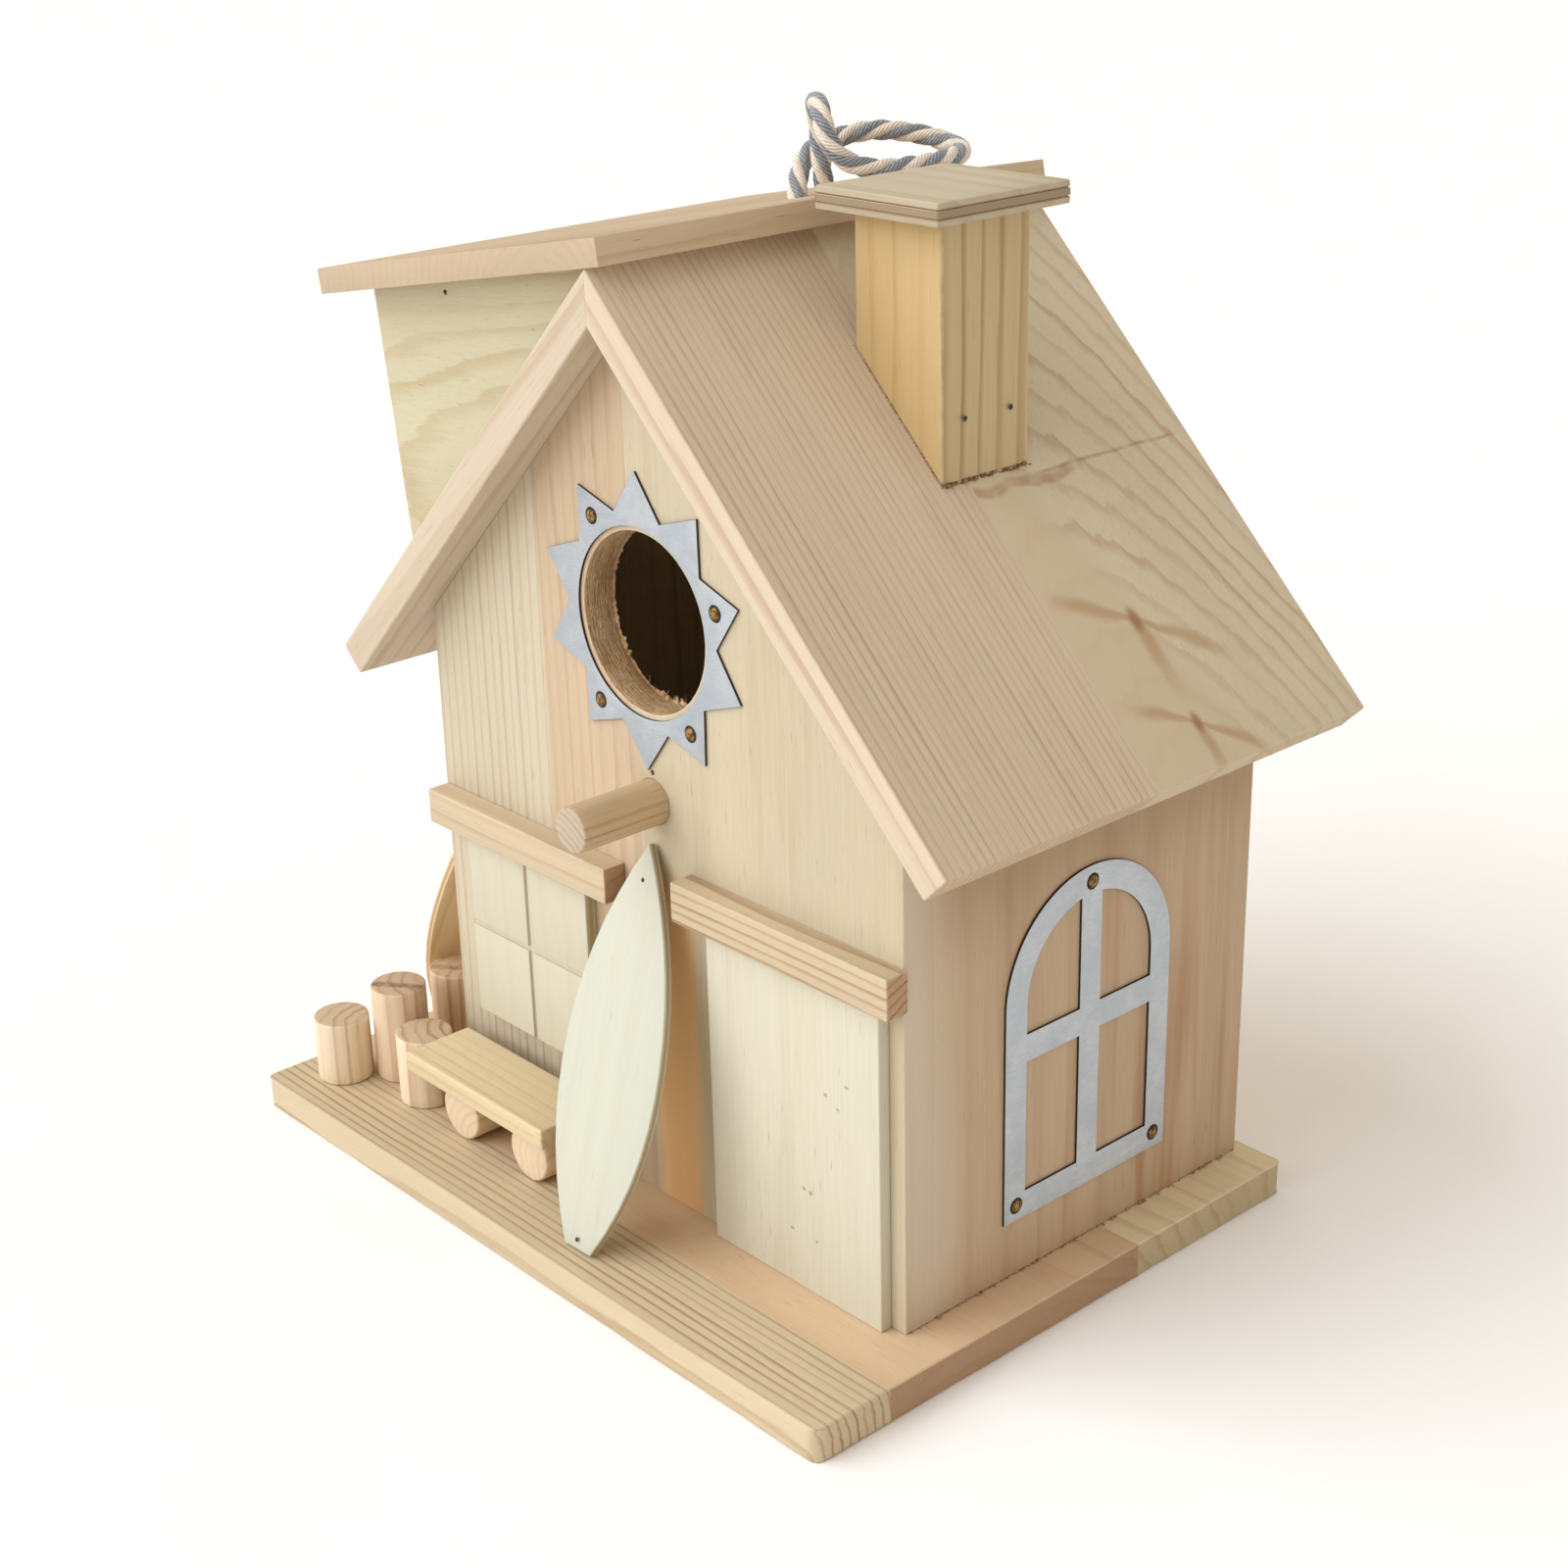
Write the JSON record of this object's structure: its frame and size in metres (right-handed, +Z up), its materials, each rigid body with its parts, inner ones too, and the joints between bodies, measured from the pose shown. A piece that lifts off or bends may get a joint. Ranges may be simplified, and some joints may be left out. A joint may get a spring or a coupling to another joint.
{
  "type": "birdhouse",
  "caption": "Beach-hut birdhouse of bare pine boards with a round entrance, perch, side dormer, chimney and rope loop, on a deck with surfboards, logs and a bench.",
  "frame": {"origin": "centre of the deck's underside, which is the base that the birdhouse stands on", "axes": "+X to the right as seen from in front of the entrance, +Y from the front to the back, +Z up"},
  "size_m": [0.208, 0.149, 0.2392],
  "materials": {
    "deck_front_strip": "bare, sanded, dark growth rings",
    "deck_middle_board": "bare, sanded",
    "deck_back_board": "bare, sanded",
    "front_wall": "bare, sanded, upright grain",
    "back_wall": "bare, sanded",
    "left_wall": "bare, sanded",
    "right_wall": "bare, sanded",
    "roof_left_panel": "bare, sanded",
    "roof_right_front_board": "bare, sanded, fine stripes",
    "roof_right_back_board": "bare, sanded, two knots",
    "dormer_roof_board": "bare, sanded",
    "dormer_front_wall": "bare, wavy grain",
    "dormer_back_wall": "bare, wavy grain",
    "dormer_side_wall": "bare, sanded",
    "chimney_post": "bare, sanded",
    "chimney_cap": "bare plywood",
    "chimney_nails": "dull nail ends",
    "perch": "bare dowel",
    "sun_plate": "galvanised, satin",
    "sun_plate_nails": "brass-plated heads",
    "window_header": "bare strip",
    "window_panes_plate": "bare plywood with scored panes",
    "door_rail": "bare strip",
    "door_plate": "bare, pale",
    "arched_window_frame": "galvanised, satin",
    "arched_window_nails": "brass-plated heads",
    "front_surfboard": "bare three-ply",
    "side_surfboard": "bare three-ply",
    "surfboard_nails": "dull nail ends",
    "log_front_left": "bare dowel",
    "log_tall": "bare dowel",
    "log_side": "bare dowel",
    "log_by_bench": "bare dowel",
    "bench_seat": "bare, sanded",
    "bench_leg_left": "bare dowel",
    "bench_leg_right": "bare dowel",
    "wall_brads": "dull nail ends",
    "cleanout_cover": "bare plywood",
    "cleanout_pivot_screw": "zinc-plated",
    "hanging_rope": "twisted cotton, cream and blue-grey",
    "rope_knot": "twisted cotton, cream and blue-grey"
  },
  "bodies": {
    "house": {"deck_front_strip": "deck_front_strip", "deck_middle_board": "deck_middle_board", "deck_back_board": "deck_back_board", "front_wall": "front_wall", "back_wall": "back_wall", "left_wall": "left_wall", "right_wall": "right_wall", "roof_left_panel": "roof_left_panel", "roof_right_front_board": "roof_right_front_board", "roof_right_back_board": "roof_right_back_board", "dormer_roof_board": "dormer_roof_board", "dormer_front_wall": "dormer_front_wall", "dormer_back_wall": "dormer_back_wall", "dormer_side_wall": "dormer_side_wall", "chimney_post": "chimney_post", "chimney_cap": "chimney_cap", "chimney_nails": "chimney_nails", "perch": "perch", "sun_plate": "sun_plate", "sun_plate_nails": "sun_plate_nails", "window_header": "window_header", "window_panes_plate": "window_panes_plate", "door_rail": "door_rail", "door_plate": "door_plate", "arched_window_frame": "arched_window_frame", "arched_window_nails": "arched_window_nails", "front_surfboard": "front_surfboard", "side_surfboard": "side_surfboard", "surfboard_nails": "surfboard_nails", "log_front_left": "log_front_left", "log_tall": "log_tall", "log_side": "log_side", "log_by_bench": "log_by_bench", "bench_seat": "bench_seat", "bench_leg_left": "bench_leg_left", "bench_leg_right": "bench_leg_right", "wall_brads": "wall_brads", "cleanout_pivot_screw": "cleanout_pivot_screw", "hanging_rope": "hanging_rope", "rope_knot": "rope_knot"},
    "cleanout_cover": {"cleanout_cover": "cleanout_cover"}
  },
  "joints": [
    {"name": "cleanout_cover_pivot", "type": "hinge", "parent": "house", "child": "cleanout_cover", "pos_m": [0.013, 0.0698, 0.092], "axis": [0, 1, 0], "continuous": true}
  ]
}
